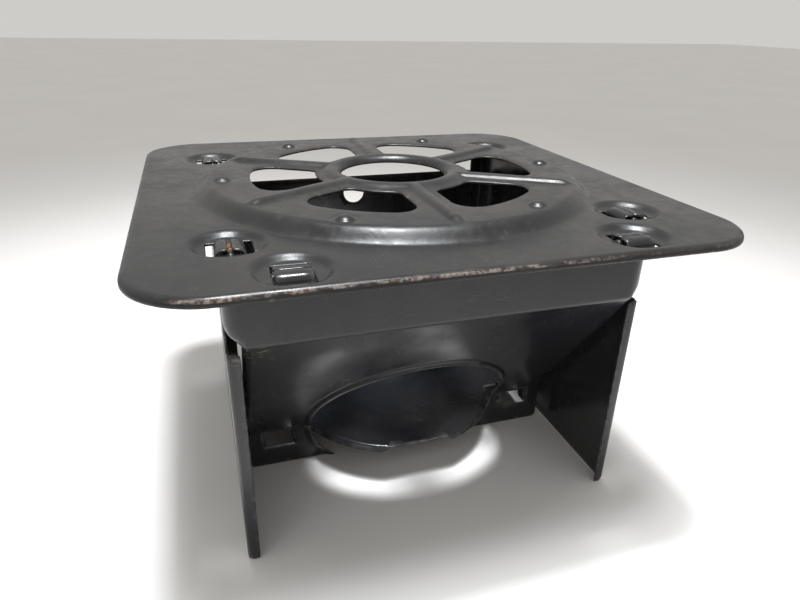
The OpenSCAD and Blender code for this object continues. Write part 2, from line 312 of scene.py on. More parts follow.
def fillet(points, radii, step=0.1):
    """A path of straight stretches with its inner corners rounded. Returns the path, the length along it at
    each point and, for each corner, the lengths where its arc starts and ends."""
    points = [np.array(p, float) for p in points]
    out, marks = [points[0]], []
    for i in range(1, len(points) - 1):
        a, b, c = points[i - 1], points[i], points[i + 1]
        back, on = unit(a - b), unit(c - b)
        turn = math.pi - math.acos(np.clip(back @ on, -1, 1))
        cut = radii[i - 1] * math.tan(turn / 2)
        centre = b + unit(back + on) * radii[i - 1] / math.cos(turn / 2)
        first, last = b + back * cut - centre, b + on * cut - centre
        count = max(4, int(turn * radii[i - 1] / step))
        bow = []
        for t in np.linspace(0, 1, count + 1):
            swing = first * math.sin((1 - t) * turn) + last * math.sin(t * turn)
            bow.append(centre + swing / math.sin(turn))
        marks.append((len(out), len(out) + len(bow) - 1))
        out += bow
    out.append(points[-1])
    out = np.array(out)
    length = np.concatenate([[0], np.cumsum(np.linalg.norm(np.diff(out, axis=0), axis=1))])
    return out, length, [(length[a], length[b]) for a, b in marks]


def along(path, length, s):
    """The point and the direction at length s of a path in a plane, carried straight on past its ends."""
    clipped = np.clip(s, 0, length[-1])
    at = np.stack([np.interp(clipped, length, path[:, k]) for k in range(2)], 1)
    i = np.clip(np.searchsorted(length, clipped, side="right") - 1, 0, len(length) - 2)
    run = unit(path[i + 1] - path[i])
    return at + run * (s - clipped)[:, None], run


# ---------------------------------------------------------------- the hinges
def curl(centre, width, start, end, along_x=True, flat=0.0):
    """A tongue curled round a hinge bar, from one angle in degrees to another. With flat above 0 the curl is
    stretched by that much to each side. The bar lies along X, or along Y."""
    t = np.radians(np.linspace(start, end, 48))
    across = LOOP_MID * np.cos(t) + flat * np.clip(np.cos(t) * 3, -1, 1)
    up = centre[2] + LOOP_MID * np.sin(t)
    if along_x:
        return strip(np.stack([np.full(48, centre[0]), centre[1] + across, up], 1), width, (1, 0, 0))
    return strip(np.stack([centre[0] + across, np.full(48, centre[1]), up], 1), width, (0, 1, 0))


def plate_tongue(centre, along_x, seam=4.0):
    """The closed, flattened curl of a leg or the front panel. Its seam, on top, is seam degrees each way."""
    return curl(centre, TONGUE_W - SHEET, 90 + seam, 450 - seam, along_x, CURL_FLAT)


def bar(centre, length, along_x):
    """A round hinge bar with slightly rounded ends."""
    t = np.linspace(0, 2 * math.pi, 25)[:-1]
    ends = [(-length / 2, 0.55), (-length / 2 + 0.3, 0.9), (-length / 2 + 0.8, 1), (length / 2 - 0.8, 1),
            (length / 2 - 0.3, 0.9), (length / 2, 0.55)]
    verts = []
    for a, k in ends:
        for angle in t:
            b, c = BAR_R * k * math.cos(angle), BAR_R * k * math.sin(angle)
            verts.append((a, b, c) if along_x else (-b, a, c))
    verts = np.array(verts) + centre
    n = len(t)
    polys = [tuple(range(n))[::-1], tuple(range((len(ends) - 1) * n, len(ends) * n))]
    for j in range(len(ends) - 1):
        for i in range(n):
            a, b = j * n + i, j * n + (i + 1) % n
            polys.append((a, b, b + n, a + n))
    return verts, polys, np.full(len(verts), 0.3)


PLATE_HINGES = [(sx * HINGE_X, front_axis[1], True) for sx in (-1, 1)]
PLATE_HINGES += [(sx * leg_axis[0], sy * LEG_HINGE_Y, False) for sx in (-1, 1) for sy in (-1, 1)]
WINDOW_ALONG = 10.0
WINDOW_ACROSS = 12.4
DISH_R = 11.2
DISH_DEPTH = 1.6

# ---------------------------------------------------------------- the top plate
SPOKES = 6
RING_TOP_R = 22.4
RING_IN_R = 19
RING_OUT_R = 27
RIM_BEND = 1.2
RIB_HEIGHT = 1.25
STEP_OUT_R = 70.8
STEP_RUN = 6.3
PIP_CIRCLE_R = 61
PIP_R = 2.5
PIP_HEIGHT = 1.2
DISH_RUN = 2.9
SPOKE_HALF = 6
OPENING_OUT_R = 51.5
OPENING_IN_R = 28.5
OPENING_OUT_CORNER = 7
OPENING_IN_CORNER = 3.5


def wedge_opening(turn):
    """The outline of one opening between two spokes."""
    half_step, spoke_half = 180 / SPOKES, SPOKE_HALF - HALF
    out_r, in_r = OPENING_OUT_R + HALF, OPENING_IN_R - HALF
    out_corner, in_corner = OPENING_OUT_CORNER + HALF, OPENING_IN_CORNER + HALF
    out_d, in_d = out_r - out_corner, in_r + in_corner
    out_a = half_step - math.degrees(math.asin((spoke_half + out_corner) / out_d))
    in_a = half_step - math.degrees(math.asin((spoke_half + in_corner) / in_d))
    out_c = out_d * np.array([math.cos(math.radians(out_a)), math.sin(math.radians(out_a))])
    in_c = in_d * np.array([math.cos(math.radians(in_a)), math.sin(math.radians(in_a))])
    upper = [arc(out_c, out_corner, out_a, 120), arc(in_c, in_corner, 120, in_a + 180, 0.6)]
    lower = [p[::-1] * [1, -1] for p in upper[::-1]]
    outer_arc, inner_arc = arc((0, 0), out_r, -out_a, out_a), arc((0, 0), in_r, in_a, -in_a)
    return rotated(loop(outer_arc, *upper, inner_arc, *lower, step=1.0), turn)


OPENINGS = [wedge_opening(60 * i) for i in range(SPOKES)]


def plate_height(p):
    """Height of the plate's middle surface above its flat part."""
    x, y = p[:, 0], p[:, 1]
    r = np.hypot(x, y)
    z = BURNER_RISE * smooth((STEP_OUT_R - r) / STEP_RUN)
    crown = np.where(r > RING_TOP_R, smooth(1.25 * (RING_OUT_R - r) / (RING_OUT_R - RING_TOP_R)),
                     1 - 2.2 * (np.clip(RING_TOP_R - r, 0, 4) / 3.4) ** 2.4)
    ridge = np.zeros(len(p))
    for i in range(SPOKES):
        a = math.radians(60 * i + 30)
        run, off = x * math.cos(a) + y * math.sin(a), -x * math.sin(a) + y * math.cos(a)
        width = 3.3 - 1.0 * smooth((run - 30) / 34)
        taper = smooth((run - 21) / 4) * smooth((65 - run) / 5)
        ridge = np.maximum(ridge, smooth(1.35 * (1 - np.abs(off) / width)) * taper)
        pip_x = PIP_CIRCLE_R * math.cos(a - math.pi / 6)
        pip_y = PIP_CIRCLE_R * math.sin(a - math.pi / 6)
        pip = np.hypot(x - pip_x, y - pip_y)
        dome = np.sqrt(np.clip(1 - (pip / PIP_R) ** 2, 0, 1)) ** 1.2
        z = z + PIP_HEIGHT * dome - 0.15 * bump((pip - 3.6) / 1.6)
    both = np.where(crown > 0, (np.clip(crown, 0, 2) ** 4 + ridge ** 4) ** 0.25, crown + ridge)
    z = z + RIB_HEIGHT * np.where(r < RING_OUT_R, both, ridge)
    for hx, hy, _ in PLATE_HINGES:
        z = z - DISH_DEPTH * smooth((DISH_R - np.hypot(x - hx, y - hy)) / DISH_RUN)
    edge = np.full(len(p), 9.0)
    near = (r > 26) & (r < 54)
    for outline in OPENINGS:
        edge[near] = np.minimum(edge[near], distance_to(p[near], outline))
    z = z - 0.32 * np.clip(1 - edge / 1.6, 0, 1) ** 2
    wave = 0.10 * np.sin(x / 23 + 1.1) * np.sin(y / 31 + 0.4) + 0.05 * np.sin(x / 9.5 + y / 13)
    return z + wave * smooth((84 - np.maximum(np.abs(x), np.abs(y))) / 12)


def plate_place(uv):
    """Bends the flat pattern of the plate: pressed shapes inside, and the rim turned down round the edge."""
    inner = PLATE_HALF - HALF - RIM_BEND
    corner = PLATE_CORNER - HALF - RIM_BEND
    core = np.clip(uv, corner - inner, inner - corner)
    away = uv - core
    dist = np.hypot(away[:, 0], away[:, 1])
    past = dist - corner
    out = away / np.maximum(dist, 1e-9)[:, None]
    turn = np.clip(past / RIM_BEND, 0, math.pi / 2)
    flat = np.where((past > 0)[:, None], core + out * (corner + RIM_BEND * np.sin(turn))[:, None], uv)
    drop = RIM_BEND * (1 - np.cos(turn)) + np.clip(past - RIM_BEND * math.pi / 2, 0, None)
    return np.column_stack([flat, PLATE_MID + plate_height(uv) - drop])


def top_plate(material):
    """The cooking plate: one sheet with its openings and hinge windows, and a bar across each window."""
    inner = PLATE_HALF - HALF - RIM_BEND
    corner = PLATE_CORNER - HALF - RIM_BEND
    apron = RIM_BEND * (math.pi / 2 - 1) + RIM_DROP - SHEET
    outer = rounded_box(inner + apron, inner + apron, corner + apron, step=1.3)
    windows = []
    for x, y, along_x in PLATE_HINGES:
        a, b = WINDOW_ALONG / 2 + HALF, WINDOW_ACROSS / 2 + HALF
        windows.append(rounded_box(a if along_x else b, b if along_x else a, 1.0, (x, y), 0.9))
    middle = loop(arc((0, 0), RING_IN_R + HALF, 0, 360, 1.0)[:-1], step=1.0)
    rim = np.concatenate([rounded_box(inner + s, inner + s, corner + s, step=1.3)
                          for s in (-2.4, -1.2, -0.4, 0.0, 0.5, 1.0, 1.5, 2.0, 2.5)])
    offsets = (-3, -2.3, -1.7, -1.15, -0.55, 0, 0.55, 1.15, 1.7, 2.3, 3)
    one_rib = np.array([(a, b) for a in np.arange(20.5, 66, 1.1) for b in offsets])
    rib = np.concatenate([rotated(one_rib, 60 * i + 30) for i in range(SPOKES)])
    angles = [math.radians(60 * i) for i in range(SPOKES)]
    pips = [PIP_CIRCLE_R * np.array([math.cos(a), math.sin(a)]) for a in angles]

    def on_rib(p):
        r, a = np.hypot(p[:, 0], p[:, 1]), np.degrees(np.arctan2(p[:, 1], p[:, 0]))
        off = r * np.abs(np.sin(np.radians((a % 60) - 30)))
        return (off < 3.4) & (r > 20.2) & (r < 66.4)

    def near_any(places, reach):
        return lambda p: np.any([np.hypot(p[:, 0] - c[0], p[:, 1] - c[1]) < reach for c in places], axis=0)

    def between(low, high):
        return lambda p: (np.hypot(p[:, 0], p[:, 1]) > low) & (np.hypot(p[:, 0], p[:, 1]) < high)

    def by_rim(p):
        q = np.clip(p, corner - inner, inner - corner)
        return np.hypot(*(p - q).T) - corner > -3.2

    seeds = layered(
        (rim, by_rim),
        (rib, on_rib),
        (np.concatenate([rings(c, np.arange(0.5, 5.6, 0.6), 0.7) for c in pips]), near_any(pips, 6)),
        (np.concatenate([rings(h[:2], np.arange(4, 12.6, 0.6), 1.1) for h in PLATE_HINGES]),
         near_any(PLATE_HINGES, 13)),
        (rings((0, 0), np.arange(20, 28.4, 0.6), 1.1), between(19, 29)),
        (rings((0, 0), np.arange(62.6, 73.4, 0.7), 1.5), between(62, 74)),
        (np.concatenate([rings((0, 0), (28.6, 51.9, 52.8), 1.3), lattice(90, 90, 2.3)]), None),
    )
    verts, faces = triangulate(outer, [middle, *windows, *OPENINGS], seeds)
    parts = [bend_sheet(verts, faces, plate_place)]
    for x, y, along_x in PLATE_HINGES:
        parts.append(bar((x, y, front_axis[2]), WINDOW_ALONG + 1.4, along_x))
    return piece("plate", "root", "top_plate", parts, material)


# ---------------------------------------------------------------- the legs
LEG_BEND = 1.2
LEG_NOTCH_Y = 58.4
LEG_NOTCH_Z = 76
LEG_END_TOP = 101.5
LEG_SHOULDER_TOP = 103.5
LEG_SHOULDER_HALF = 40
STEM_TOP = 101.9


def leg(side, name, body, node, material):
    """One side leg: a flat sheet with a flange at each upright edge and two closed tongues at its top."""
    x_mid = leg_axis[0] + CURL_FLAT + LOOP_MID
    front, back = leg_low[1] + HALF, leg_high[1] - HALF
    path, length, marks = fillet([(x_mid - 3.9 + SHEET, front), (x_mid, front), (x_mid, back),
                                  (x_mid - 6.8 + SHEET, back)], [LEG_BEND, LEG_BEND])
    middle = marks[0][1] - front - LEG_BEND
    end, notch = length[-1], middle - LEG_NOTCH_Y + HALF
    top, shoulder, stem = LEG_END_TOP - HALF, LEG_SHOULDER_TOP - HALF, STEM_TOP - HALF
    outline = [(0, HALF), (end, HALF), (end, top)]
    for y in (LEG_HINGE_Y, -LEG_HINGE_Y):
        s = middle + y
        outline += [(s + TONGUE_REACH, top), (s + TONGUE_REACH, stem), (max(s - TONGUE_REACH, notch), stem)]
        if y > 0:
            outline += [(s - TONGUE_REACH, top), (middle + LEG_SHOULDER_HALF, top),
                        (middle + LEG_SHOULDER_HALF - 2, shoulder),
                        (middle - LEG_SHOULDER_HALF + 2, shoulder), (middle - LEG_SHOULDER_HALF, top)]
    outline += [(notch, LEG_NOTCH_Z + 1.5), (notch - 1.5, LEG_NOTCH_Z), (0.8, LEG_NOTCH_Z),
                (0, LEG_NOTCH_Z - 0.8)]
    outline = loop(np.array(outline, float), step=1.6)
    bends = np.concatenate([np.linspace(a - 0.4, b + 0.4, 7) for a, b in marks])
    columns = np.concatenate([[1.2], bends, np.arange(marks[0][1] + 2.2, marks[1][0] - 1.2, 2.4),
                              np.arange(marks[1][1] + 1.3, end - 0.6, 1.5)])
    seeds = np.array([(u, v) for u in columns for v in np.arange(2, 104, 2.2)])
    verts, faces = triangulate(outline, [], seeds, 0.5)

    def place(uv):
        at, run = along(path, length, uv[:, 0])
        bow = 0.25 * np.sin(uv[:, 1] / 34) * np.sin(uv[:, 0] / 41)
        return np.column_stack([at[:, 0] - bow * np.abs(run[:, 1]), at[:, 1], uv[:, 1]]) * [side, 1, 1]

    parts = [bend_sheet(verts, faces, place)]
    for y in (-LEG_HINGE_Y, LEG_HINGE_Y):
        seam = 7.5 if side < 0 and y < 0 else 4
        parts.append(plate_tongue((side * leg_axis[0], y, leg_axis[2]), False, seam))
    return piece(name, body, node, parts, material)


# ---------------------------------------------------------------- the front panel
THROAT_HALF = 59.6
BAND_CORNER = 7
BAND_R = BAND_CORNER - HALF
LEG_GAP = 0.8
BAND_Y = -(LEG_NOTCH_Y + LEG_GAP + BAND_CORNER) + HALF
APRON_HALF = 62.3
FOLD_R = 1.5
BAND_TOP = 96
BAND_BOTTOM = 79.4
THROAT_TOP = 100.4
BEND_Z = 16.4
FOOT_Y = -18
ARCH_R = 38
ARCH_RISE = 7
FOOT_ARCH_R = 18
ARCH_LIP = 1.3
SHELF_HINGE_X = 50
PANEL_WINDOW = 12.4
SLOT_LOW = 8.4
SLOT_HIGH = 15.2
EAR_TOP = 2.2
EAR_REACH = 1.6
EAR_LOW = 9


def front_panel(material):
    """The sloping front panel. Its flat pattern is x across and s along the section, tongues to floor."""
    stem_y = front_axis[1] + CURL_FLAT + LOOP_MID
    path, length, marks = fillet([(stem_y, STEM_TOP - HALF), (stem_y, 100), (BAND_Y, BAND_TOP),
                                  (BAND_Y, BAND_BOTTOM), (FOOT_Y, BEND_Z), (FOOT_Y, HALF)],
                                 [1.2, 1.4, 1.8, 2.4])
    band, hem, knee = [(a + b) / 2 for a, b in marks[1:]]
    top, end = STEM_TOP - THROAT_TOP, length[-1]
    wrap = BAND_R * math.pi / 2
    flange = FOLD_R * math.pi / 2 + 1.2
    apron = APRON_HALF - HALF - FOLD_R

    def at_height(z):
        return end - (z - HALF)

    foot_c, foot_r = ARCH_R - FOOT_ARCH_R, FOOT_ARCH_R + HALF
    floor_a = -math.degrees(math.asin(min(1, (end - knee) / foot_r)))
    edge = [(HINGE_X - TONGUE_REACH, top), (HINGE_X - TONGUE_REACH, 0), (HINGE_X + TONGUE_REACH, 0),
            (HINGE_X + TONGUE_REACH, top), (THROAT_HALF - HALF, top), (THROAT_HALF - HALF, band - 0.6),
            (THROAT_HALF + 1.5, band + HALF), (THROAT_HALF + wrap - 1.5, band + HALF),
            (THROAT_HALF + wrap - HALF, band + 1.5), (THROAT_HALF + wrap - HALF, hem - 5.5),
            (THROAT_HALF + wrap - 2, hem - 4), (apron + 3.2, hem - 1.4), (apron + 2.2, hem + 1.2),
            (apron + flange - 0.6, hem + 4.5), (apron + flange - HALF, hem + 6),
            (apron + flange - HALF, knee - 5),
            (apron + FOLD_R, knee - 1), (APRON_HALF - HALF, knee + 1.5), (APRON_HALF - HALF, end - 1),
            (APRON_HALF - 1.5, end)]
    edge = [np.array(edge, float)]
    toe = arc((foot_c, 0), foot_r, floor_a, 0, 1.2) * [1, -1] + [0, knee]
    arch_r = ARCH_R + HALF
    bow_start = -math.degrees(math.asin(ARCH_RISE / arch_r))
    bow = arc((0, 0), arch_r, bow_start, 90, 1.2) * [1, -1] + [0, knee - ARCH_RISE]
    right = np.concatenate([*edge, toe, bow[:-1]])
    outline = loop(right, bow[-1:], right[::-1] * [-1, 1], step=1.5)
    slot_s = at_height((SLOT_LOW + SLOT_HIGH) / 2)
    windows = [rounded_box(PANEL_WINDOW / 2 + HALF, (SLOT_HIGH - SLOT_LOW) / 2 + HALF, 1.2,
                           (sx * SHELF_HINGE_X, slot_s), 1.0) for sx in (-1, 1)]
    rows = np.concatenate([np.linspace(a - 0.5, b + 0.5, 7) for a, b in marks])
    spaced = [s for s in np.arange(1.5, end - 0.8, 2.3) if np.abs(rows - s).min() > 1.0]
    rows = np.sort(np.concatenate([rows, spaced]))
    columns = np.concatenate([np.arange(0, 58.8, 2.4), np.arange(59.6, 72, 1.1)])
    columns = np.concatenate([-columns[:0:-1], columns])
    grid = np.array([(x, s) for s in rows for x in columns])
    near_arch = np.concatenate([arc((0, 0), ARCH_R + d, -12, 192, 1.2) * [1, -1] + [0, knee - ARCH_RISE]
                                for d in (0.95, 1.5, 2.1, 2.8, 3.6)])
    toes = np.concatenate([(arc((foot_c, 0), FOOT_ARCH_R + d, -75, 0, 1.2) * [1, -1] + [0, knee]) * [sx, 1]
                           for d in (0.95, 1.5, 2.1, 2.8) for sx in (-1, 1)])

    def by_arch(p):
        r = np.hypot(p[:, 0], p[:, 1] - (knee - ARCH_RISE))
        t = np.hypot(np.abs(p[:, 0]) - foot_c, p[:, 1] - knee)
        by_bow = (r < ARCH_R + 4.4) & (p[:, 1] < knee - 1.5)
        by_toe = (t < FOOT_ARCH_R + 3.4) & (p[:, 1] > knee + 1.5)
        return by_bow | by_toe

    near_arch = near_arch[near_arch[:, 1] < knee - 1.5]
    toes = toes[toes[:, 1] > knee + 1.5]
    seeds = layered((np.concatenate([near_arch, toes]), by_arch), (grid, None))
    verts, faces = triangulate(outline, windows, seeds, 0.55)

    def place(uv):
        x, s = np.abs(uv[:, 0]), uv[:, 1]
        at, run = along(path, length, s)
        back = np.stack([-run[:, 1], run[:, 0]], 1)
        blend = smooth((s - (hem - 3.5)) / 4.5)
        start = THROAT_HALF + (apron - THROAT_HALF) * blend
        radius = BAND_R + (FOLD_R - BAND_R) * blend
        turn = np.clip((x - start) / radius, 0, math.pi / 2)
        past = np.clip(x - start - radius * math.pi / 2, 0, None)
        across = np.minimum(x, start) + radius * np.sin(turn)
        depth = radius * (1 - np.cos(turn)) + past
        on_foot = smooth((s - knee) / 1.5)
        across = across * (1 - on_foot) + x * on_foot
        depth = depth * (1 - on_foot)
        to_arch = np.hypot(uv[:, 0], s - (knee - ARCH_RISE)) - ARCH_R
        to_toe = np.hypot(x - foot_c, s - knee) - FOOT_ARCH_R
        to_bow = np.where(s < knee - ARCH_RISE, to_arch, np.minimum(to_arch, x - ARCH_R))
        gap = np.where(s < knee, to_bow, to_toe)
        lip = ARCH_LIP * smooth((2.6 - gap) / 2.2)
        dent = 0.22 * np.sin(uv[:, 0] / 19 + 0.5) * np.sin(s / 17) + 0.1 * np.sin(uv[:, 0] / 7.3 + s / 11)
        depth = depth - lip + dent * smooth((s - hem) / 12) * smooth((knee - s) / 8)
        return np.column_stack([across * np.sign(uv[:, 0]), at + back * depth[:, None]])

    parts = [bend_sheet(verts, faces, place)]
    for sx in (-1, 1):
        parts.append(plate_tongue((sx * HINGE_X, front_axis[1], front_axis[2]), True))
        parts.append(bar((sx * SHELF_HINGE_X, shelf_axis[1], shelf_axis[2]), PANEL_WINDOW, True))
        for sign in (-1, 1):
            parts.append(ear(sx * SHELF_HINGE_X + sign * (PANEL_WINDOW - SHEET) / 2))
    return piece("front_panel_sheet", "front_panel", "front_panel", parts, material)


def flat_grid(outline, step, holes=(), clear=0.5):
    """Vertices and triangles of an outline filled with an even lattice."""
    low, high = outline.min(0), outline.max(0)
    middle, half = (low + high) / 2, (high - low) / 2
    return triangulate(outline, list(holes), lattice(half[0] + step, half[1] + step, step, middle), clear)


def ear(x):
    """One of the small upright ears that hold a shelf bar behind the foot."""
    low, high = EAR_LOW + HALF, shelf_axis[2] + EAR_TOP - HALF
    near, far = FOOT_Y + 0.2, shelf_axis[1] + EAR_REACH - HALF
    outline = loop(np.array([(near, low), (far - 1, low), (far, low + 1.5)]),
                   arc((far - 1.3, high - 1.3), 1.3, 0, 90, 0.5), np.array([(near, high)]), step=1.0)
    verts, faces = flat_grid(outline, 1.1)
    return bend_sheet(verts, faces, lambda uv: np.column_stack([np.full(len(uv), x), uv]))


# ---------------------------------------------------------------- the can shelf
SHELF_MID = 15.4 - HALF
NOSE_R = 41.6
NOSE_FRONT = -39.2
WELL_R = 21
WELL_DEPTH = 3.5
SHELF_HALF = 58
SHELF_FRONT = -12
SHELF_BACK = rear_axis[1] - 3
SHELF_CORNER = 8
REAR_HINGE_X = 40
NOSE_LIP = 1.7
FRONT_TONGUE_W = 9.6
REAR_TONGUE_W = 10


def can_shelf(material):
    """The can shelf: a round nose with a turned-down edge, a dish in the middle, tongues front and back."""
    nose, half = NOSE_R - HALF, SHELF_HALF - HALF
    front, back = SHELF_FRONT + HALF, SHELF_BACK - HALF
    chord_a = math.degrees(math.asin((NOSE_FRONT + HALF) / nose))
    root_a = math.degrees(math.asin(front / nose))
    stub, rear_stub = shelf_axis[1], rear_axis[1]
    tongue, rear_tongue = FRONT_TONGUE_W / 2 - HALF, REAR_TONGUE_W / 2 - HALF
    right = np.concatenate([
        arc((0, 0), nose, chord_a, root_a, 1.1),
        [(SHELF_HINGE_X - tongue, front), (SHELF_HINGE_X - tongue, stub), (SHELF_HINGE_X + tongue, stub),
         (SHELF_HINGE_X + tongue, front), (half - 1, front), (half, front + 1)],
        arc((half - SHELF_CORNER, back - SHELF_CORNER), SHELF_CORNER, 0, 90, 1.2),
        [(REAR_HINGE_X + rear_tongue, back), (REAR_HINGE_X + rear_tongue, rear_stub),
         (REAR_HINGE_X - rear_tongue, rear_stub), (REAR_HINGE_X - rear_tongue, back)]])
    outline = loop(right, right[::-1] * [-1, 1], step=1.5)
    bowl = rings((0, 0), np.concatenate([np.arange(1.2, 18.5, 1.5), np.arange(19.3, 23.4, 0.45)]), 1.3)
    lip = np.concatenate([arc((0, 0), NOSE_R - d, -72, -14, 1.1) for d in (0.95, 1.3, 1.7, 2.1, 2.6, 3.2)])
    lip = np.concatenate([lip, lip * [-1, 1]])
    seeds = layered((bowl, lambda p: np.hypot(p[:, 0], p[:, 1]) < 23.6),
                    (lip, lambda p: (np.hypot(p[:, 0], p[:, 1]) > NOSE_R - 3.6) & (p[:, 1] < front)),
                    (lattice(60, 62, 2.4, (0, 10)), None))
    verts, faces = triangulate(outline, [], seeds, 0.5)

    def place(uv):
        x, y = uv[:, 0], uv[:, 1]
        r = np.hypot(x, y)
        bowl = -WELL_DEPTH * np.clip(1 - (r / (WELL_R + 0.3)) ** 2.2, 0, 1) ** 0.8
        ring = -0.5 * smooth((r - WELL_R) / 10) * smooth((44 - r) / 6)
        arc_gap = np.clip(NOSE_R - HALF - r, 0, NOSE_LIP)
        turned = NOSE_LIP - np.sqrt(np.clip(NOSE_LIP ** 2 - (NOSE_LIP - arc_gap) ** 2, 0, None))
        lip = -turned * smooth((front - 0.8 - y) / 2.5)
        torn = 0.9 * smooth((x - 16) / 12) * smooth((NOSE_FRONT + 5 - y) / 5) * (0.7 + 0.3 * np.sin(x * 1.7))
        ragged = 0.16 * np.sin(x * 0.9 + 1) * np.sin(x * 0.37) * smooth((NOSE_FRONT + 3 - y) / 3)
        wave = 0.12 * np.sin(x / 14 + 0.7) * np.sin(y / 17)
        return np.column_stack([x, y, SHELF_MID + bowl + ring + lip + torn + ragged + wave * (r > WELL_R)])

    parts = [bend_sheet(verts, faces, place)]
    for sx in (-1, 1):
        front_hinge = (sx * SHELF_HINGE_X, shelf_axis[1], shelf_axis[2])
        rear_hinge = (sx * REAR_HINGE_X, rear_axis[1], rear_axis[2])
        parts.append(curl(front_hinge, FRONT_TONGUE_W - SHEET, 268, -55))
        parts.append(curl(rear_hinge, REAR_TONGUE_W - SHEET, -88, 235))
    return piece("can_shelf_sheet", "can_shelf", "can_shelf", parts, material)


# ---------------------------------------------------------------- the rear panel
REAR_FOOT_HALF = 54
REAR_TAPER_Z = 73
REAR_HOLE_Z = 84.8
REAR_HOLE_R = 4.75
REAR_WINDOW = 7.6


def rear_panel(material):
    """The rear panel: a flat sheet that tapers to the floor, with a round hole and two hinge windows."""
    top, half, foot = rear_high[2] - HALF, rear_high[0] - HALF, REAR_FOOT_HALF - HALF
    corner = arc((half - 2.5, top - 2.5), 2.5, 0, 90, 0.8)
    right = np.concatenate([[(foot, HALF), (half, REAR_TAPER_Z)], corner])
    outline = loop(right, right[::-1] * [-1, 1], step=1.8)
    hole = arc((0, REAR_HOLE_Z), REAR_HOLE_R + HALF, 0, 360, 0.9)[:-1]
    windows = [rounded_box(PANEL_WINDOW / 2 + HALF, REAR_WINDOW / 2 + HALF, 1.0,
                           (sx * REAR_HINGE_X, rear_axis[2]), 1.0) for sx in (-1, 1)]
    verts, faces = flat_grid(outline, 2.6, [hole, *windows])

    def place(uv):
        warp = 0.3 * np.sin(uv[:, 0] / 26) * np.sin(uv[:, 1] / 30) * smooth((uv[:, 1] - 22) / 20)
        return np.column_stack([-uv[:, 0], rear_axis[1] + warp, uv[:, 1]])

    parts = [bend_sheet(verts, faces, place)]
    for sx in (-1, 1):
        parts.append(bar((sx * REAR_HINGE_X, rear_axis[1], rear_axis[2]), PANEL_WINDOW + 1.4, True))
    return piece("rear_panel_sheet", "rear_panel", "rear_panel", parts, material)


# ---------------------------------------------------------------- materials
class Nodes:
    """A short way to wire up one material's nodes."""

    def __init__(self, name):
        self.material = bpy.data.materials.new(name)
        self.material.use_nodes = True
        self.tree = self.material.node_tree
        self.shader = self.tree.nodes["Principled BSDF"]
        self.place = self.add("ShaderNodeTexCoord").outputs["Object"]

    def add(self, kind, **settings):
        node = self.tree.nodes.new(kind)
        for key, value in settings.items():
            setattr(node, key, value)
        return node

    def put(self, socket, value):
        if isinstance(value, bpy.types.NodeSocket):
            self.tree.links.new(value, socket)
        else:
            socket.default_value = value

    def math(self, operation, a, b=0.5, clamp=False):
        node = self.add("ShaderNodeMath", operation=operation, use_clamp=clamp)
        self.put(node.inputs[0], a)
        self.put(node.inputs[1], b)
        return node.outputs[0]

    def noise(self, scale, detail=3.0, rough=0.55, stretch=None):
        node = self.add("ShaderNodeTexNoise")
        node.inputs["Scale"].default_value = scale
        node.inputs["Detail"].default_value = detail
        node.inputs["Roughness"].default_value = rough
        place = self.place
        if stretch:
            mapping = self.add("ShaderNodeMapping")
            mapping.inputs["Scale"].default_value = stretch
            self.put(mapping.inputs["Vector"], place)
            place = mapping.outputs["Vector"]
        self.put(node.inputs["Vector"], place)
        return node.outputs["Fac"]

    def span(self, value, low, high, out_low=0.0, out_high=1.0):
        """Out_low where value is at or below low, out_high at or above high, and a smooth change between."""
        node = self.add("ShaderNodeMapRange", interpolation_type="SMOOTHSTEP")
        limits = {"Value": value, "From Min": low, "From Max": high, "To Min": out_low, "To Max": out_high}
        for key, v in limits.items():
            self.put(node.inputs[key], v)
        return node.outputs["Result"]

    def near(self, centre, radius, fade):
        """1 within radius of a point in metres, fading to 0 over fade."""
        node = self.add("ShaderNodeVectorMath", operation="DISTANCE")
        self.put(node.inputs[0], self.place)
        node.inputs[1].default_value = centre
        return self.span(node.outputs["Value"], radius, radius + fade, 1.0, 0.0)

    def axis(self, index):
        node = self.add("ShaderNodeSeparateXYZ")
        self.put(node.inputs[0], self.place)
        return node.outputs[index]

    def mix(self, factor, a, b):
        node = self.add("ShaderNodeMix", data_type="RGBA")
        self.put(node.inputs["Factor"], factor)
        self.put(node.inputs[6], a)
        self.put(node.inputs[7], b)
        return node.outputs[2]

    def attribute(self, name):
        return self.add("ShaderNodeAttribute", attribute_name=name).outputs["Fac"]

    def bump(self, height, strength, distance, normal=None):
        node = self.add("ShaderNodeBump")
        node.inputs["Strength"].default_value = strength
        node.inputs["Distance"].default_value = distance
        self.put(node.inputs["Height"], height)
        if normal:
            self.put(node.inputs["Normal"], normal)
        return node.outputs["Normal"]


RING_RUST = (-0.0175, 0.0365, 0.110)
SEAM_RUST = (-0.0625, -0.054, 0.1045)
# A paler brown patch at the band's left corner, and a brown spot on the foot painted as a reflection of the
# warm floor.
BAND_CORNER_PALE_SPOT = (-0.060, -0.062, 0.0755)
FOOT_FLOOR_REFLECTION = (0.047, -0.018, 0.013)


